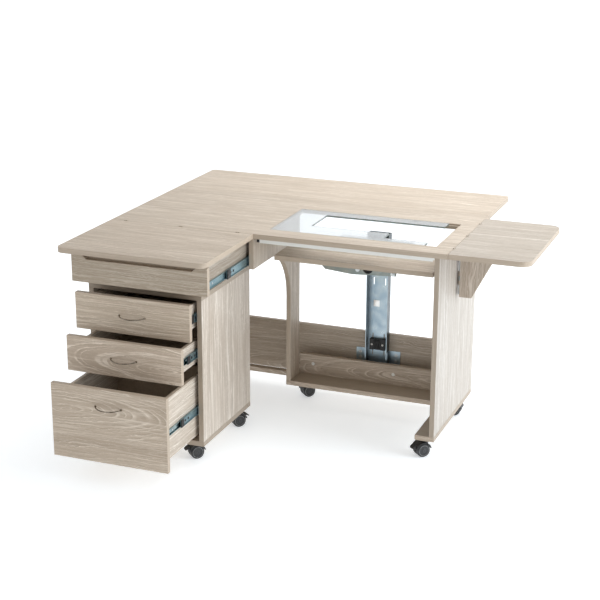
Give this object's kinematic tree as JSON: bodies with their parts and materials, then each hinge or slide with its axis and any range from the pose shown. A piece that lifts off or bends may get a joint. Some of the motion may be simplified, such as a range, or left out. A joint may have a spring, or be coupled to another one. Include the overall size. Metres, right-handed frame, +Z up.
{
  "type": "sewing table",
  "caption": "L-shaped laminate sewing cabinet with folding leaves, machine lift and clear insert, pull-out tray, and a drawer pedestal on twin-wheel castors",
  "frame": {"origin": "centre of the footprint's bounding box, on the floor, with the drawers standing open as at rest", "axes": "+X to the user's right along the worktop, +Y to the back, +Z up"},
  "size_m": [1.542, 1.51, 0.7674],
  "materials": {
    "oak_top": "pale grey-beige oak laminate, satin",
    "oak_side": "grey-beige oak laminate, vertical grain, satin",
    "oak_front": "grey-beige oak laminate, horizontal grain, satin",
    "drawer_board": "plain pale laminate, satin",
    "white_rail": "white powder coat",
    "clear_sheet": "clear acrylic, polished",
    "zinc_steel": "blue-white zinc plate",
    "brushed_nickel": "brushed nickel",
    "castor_black": "moulded nylon",
    "castor_grey": "moulded nylon, grey tread"
  },
  "bodies": {
    "table": {"main_top": "oak_top", "left_end_panel": "oak_side", "middle_panel": "oak_side", "right_panel": "oak_side", "modesty_panel": "oak_front", "base_boards": "oak_front", "top_stiffener": "white_rail", "clear_insert": "clear_sheet", "lift_column": "zinc_steel", "lift_stop": "castor_black", "fixed_hinge_plates": "zinc_steel", "tray_slide_rails": "zinc_steel"},
    "wing": {"wing_leaf": "oak_top", "wing_hinge_halves": "brushed_nickel"},
    "side": {"side_leaf": "oak_top", "side_hinge_halves": "brushed_nickel"},
    "rear": {"rear_leaf": "oak_top", "rear_hinge_halves": "zinc_steel"},
    "props": {"leaf_props": "zinc_steel"},
    "gate": {"gate_bracket": "oak_side", "gate_hinge_halves": "zinc_steel"},
    "lift": {"lift_platform": "oak_front", "lift_carriage": "zinc_steel"},
    "tray": {"tray_front": "oak_front", "tray_box": "drawer_board", "tray_runners": "zinc_steel"},
    "tray_links": {"tray_slide_links": "zinc_steel"},
    "pedestal": {"pedestal_walls": "oak_side", "pedestal_shelves": "oak_top", "pedestal_slide_rails": "zinc_steel"},
    "upper_drawer": {"upper_drawer_front": "oak_front", "upper_drawer_box": "drawer_board", "upper_drawer_fittings": "brushed_nickel"},
    "upper_links": {"upper_drawer_links": "zinc_steel"},
    "middle_drawer": {"middle_drawer_front": "oak_front", "middle_drawer_box": "drawer_board", "middle_drawer_fittings": "brushed_nickel"},
    "middle_links": {"middle_drawer_links": "zinc_steel"},
    "lower_drawer": {"lower_drawer_front": "oak_front", "lower_drawer_box": "drawer_board", "lower_drawer_fittings": "brushed_nickel"},
    "lower_links": {"lower_drawer_links": "zinc_steel"},
    "table_castor_1": {"table_castor_1": "castor_black"},
    "table_wheels_1": {"table_wheels_1": "castor_grey"},
    "table_castor_2": {"table_castor_2": "castor_black"},
    "table_wheels_2": {"table_wheels_2": "castor_grey"},
    "table_castor_3": {"table_castor_3": "castor_black"},
    "table_wheels_3": {"table_wheels_3": "castor_grey"},
    "table_castor_4": {"table_castor_4": "castor_black"},
    "table_wheels_4": {"table_wheels_4": "castor_grey"},
    "table_castor_5": {"table_castor_5": "castor_black"},
    "table_wheels_5": {"table_wheels_5": "castor_grey"},
    "pedestal_castor_1": {"pedestal_castor_1": "castor_black"},
    "pedestal_wheels_1": {"pedestal_wheels_1": "castor_grey"},
    "pedestal_castor_2": {"pedestal_castor_2": "castor_black"},
    "pedestal_wheels_2": {"pedestal_wheels_2": "castor_grey"},
    "pedestal_castor_3": {"pedestal_castor_3": "castor_black"},
    "pedestal_wheels_3": {"pedestal_wheels_3": "castor_grey"},
    "pedestal_castor_4": {"pedestal_castor_4": "castor_black"},
    "pedestal_wheels_4": {"pedestal_wheels_4": "castor_grey"}
  },
  "joints": [
    {"name": "wing_fold", "type": "hinge", "parent": "table", "child": "wing", "pos_m": [-0.494, -0.13795, 0.7655], "axis": [-1, 0, 0], "range_deg": [0, 180]},
    {"name": "side_leaf_fold", "type": "hinge", "parent": "table", "child": "side", "pos_m": [0.491, 0.12005, 0.7655], "axis": [0, -1, 0], "range_deg": [0, 180]},
    {"name": "rear_leaf_drop", "type": "hinge", "parent": "table", "child": "rear", "pos_m": [-0.14, 0.43755, 0.741], "axis": [-1, 0, 0], "range_deg": [0, 90]},
    {"name": "prop_fold", "type": "hinge", "parent": "table", "child": "props", "pos_m": [-0.146, 0.42205, 0.59], "axis": [-1, 0, 0], "range_deg": [0, 135]},
    {"name": "gate_swing", "type": "hinge", "parent": "table", "child": "gate", "pos_m": [0.4626, 0.14405, 0.64], "axis": [0, 0, 1], "range_deg": [0, 90]},
    {"name": "lift_slide", "type": "slide", "parent": "table", "child": "lift", "axis": [0, 0, 1], "range_m": [-0.33, 0]},
    {"name": "tray_slide", "type": "slide", "parent": "table", "child": "tray", "axis": [0, -1, 0], "range_m": [-0.368, 0]},
    {"name": "tray_link_slide", "type": "slide", "parent": "table", "child": "tray_links", "axis": [0, -1, 0], "range_m": [-0.184, 0]},
    {"name": "pedestal_roll", "type": "slide", "parent": "table", "child": "pedestal", "axis": [0, -1, 0], "range_m": [-0.3, 0.15]},
    {"name": "upper_drawer_slide", "type": "slide", "parent": "pedestal", "child": "upper_drawer", "axis": [0, -1, 0], "range_m": [-0.076, 0.204]},
    {"name": "upper_link_slide", "type": "slide", "parent": "pedestal", "child": "upper_links", "axis": [0, -1, 0], "range_m": [-0.038, 0.102]},
    {"name": "middle_drawer_slide", "type": "slide", "parent": "pedestal", "child": "middle_drawer", "axis": [0, -1, 0], "range_m": [-0.146, 0.134]},
    {"name": "middle_link_slide", "type": "slide", "parent": "pedestal", "child": "middle_links", "axis": [0, -1, 0], "range_m": [-0.073, 0.067]},
    {"name": "lower_drawer_slide", "type": "slide", "parent": "pedestal", "child": "lower_drawer", "axis": [0, -1, 0], "range_m": [-0.263, 0.1]},
    {"name": "lower_link_slide", "type": "slide", "parent": "pedestal", "child": "lower_links", "axis": [0, -1, 0], "range_m": [-0.1315, 0.05]},
    {"name": "table_swivel_1", "type": "hinge", "parent": "table", "child": "table_castor_1", "pos_m": [0.418, -0.07295, 0.07], "axis": [0, 0, 1], "continuous": true},
    {"name": "table_spin_1", "type": "hinge", "parent": "table_castor_1", "child": "table_wheels_1", "pos_m": [0.40669, -0.08427, 0.025], "axis": [-0.7071, 0.7071, 0], "continuous": true},
    {"name": "table_swivel_2", "type": "hinge", "parent": "table", "child": "table_castor_2", "pos_m": [0.399, 0.33605, 0.07], "axis": [0, 0, 1], "continuous": true},
    {"name": "table_spin_2", "type": "hinge", "parent": "table_castor_2", "child": "table_wheels_2", "pos_m": [0.415, 0.33605, 0.025], "axis": [0, -1, 0], "continuous": true},
    {"name": "table_swivel_3", "type": "hinge", "parent": "table", "child": "table_castor_3", "pos_m": [-0.162, 0.31905, 0.07], "axis": [0, 0, 1], "continuous": true},
    {"name": "table_spin_3", "type": "hinge", "parent": "table_castor_3", "child": "table_wheels_3", "pos_m": [-0.17331, 0.30773, 0.025], "axis": [-0.7071, 0.7071, 0], "continuous": true},
    {"name": "table_swivel_4", "type": "hinge", "parent": "table", "child": "table_castor_4", "pos_m": [-0.731, 0.36205, 0.07], "axis": [0, 0, 1], "continuous": true},
    {"name": "table_spin_4", "type": "hinge", "parent": "table_castor_4", "child": "table_wheels_4", "pos_m": [-0.731, 0.34605, 0.025], "axis": [-1, 0, 0], "continuous": true},
    {"name": "table_swivel_5", "type": "hinge", "parent": "table", "child": "table_castor_5", "pos_m": [-0.731, -0.09295, 0.07], "axis": [0, 0, 1], "continuous": true},
    {"name": "table_spin_5", "type": "hinge", "parent": "table_castor_5", "child": "table_wheels_5", "pos_m": [-0.731, -0.10895, 0.025], "axis": [-1, 0, 0], "continuous": true},
    {"name": "pedestal_swivel_1", "type": "hinge", "parent": "pedestal", "child": "pedestal_castor_1", "pos_m": [-0.319, -0.38095, 0.07], "axis": [0, 0, 1], "continuous": true},
    {"name": "pedestal_spin_1", "type": "hinge", "parent": "pedestal_castor_1", "child": "pedestal_wheels_1", "pos_m": [-0.33031, -0.39227, 0.025], "axis": [-0.7071, 0.7071, 0], "continuous": true},
    {"name": "pedestal_swivel_2", "type": "hinge", "parent": "pedestal", "child": "pedestal_castor_2", "pos_m": [-0.319, -0.08295, 0.07], "axis": [0, 0, 1], "continuous": true},
    {"name": "pedestal_spin_2", "type": "hinge", "parent": "pedestal_castor_2", "child": "pedestal_wheels_2", "pos_m": [-0.30769, -0.07164, 0.025], "axis": [0.7071, -0.7071, 0], "continuous": true},
    {"name": "pedestal_swivel_3", "type": "hinge", "parent": "pedestal", "child": "pedestal_castor_3", "pos_m": [-0.654, -0.38095, 0.07], "axis": [0, 0, 1], "continuous": true},
    {"name": "pedestal_spin_3", "type": "hinge", "parent": "pedestal_castor_3", "child": "pedestal_wheels_3", "pos_m": [-0.65678, -0.39671, 0.025], "axis": [-0.9848, 0.1736, 0], "continuous": true},
    {"name": "pedestal_swivel_4", "type": "hinge", "parent": "pedestal", "child": "pedestal_castor_4", "pos_m": [-0.654, -0.08295, 0.07], "axis": [0, 0, 1], "continuous": true},
    {"name": "pedestal_spin_4", "type": "hinge", "parent": "pedestal_castor_4", "child": "pedestal_wheels_4", "pos_m": [-0.65122, -0.0672, 0.025], "axis": [0.9848, -0.1736, 0], "continuous": true}
  ],
  "couplings": [
    {"joint": "prop_fold", "follows": "rear_leaf_drop", "ratio": 1.5},
    {"joint": "tray_link_slide", "follows": "tray_slide", "ratio": 0.5},
    {"joint": "upper_link_slide", "follows": "upper_drawer_slide", "ratio": 0.5},
    {"joint": "middle_link_slide", "follows": "middle_drawer_slide", "ratio": 0.5},
    {"joint": "lower_link_slide", "follows": "lower_drawer_slide", "ratio": 0.5}
  ]
}
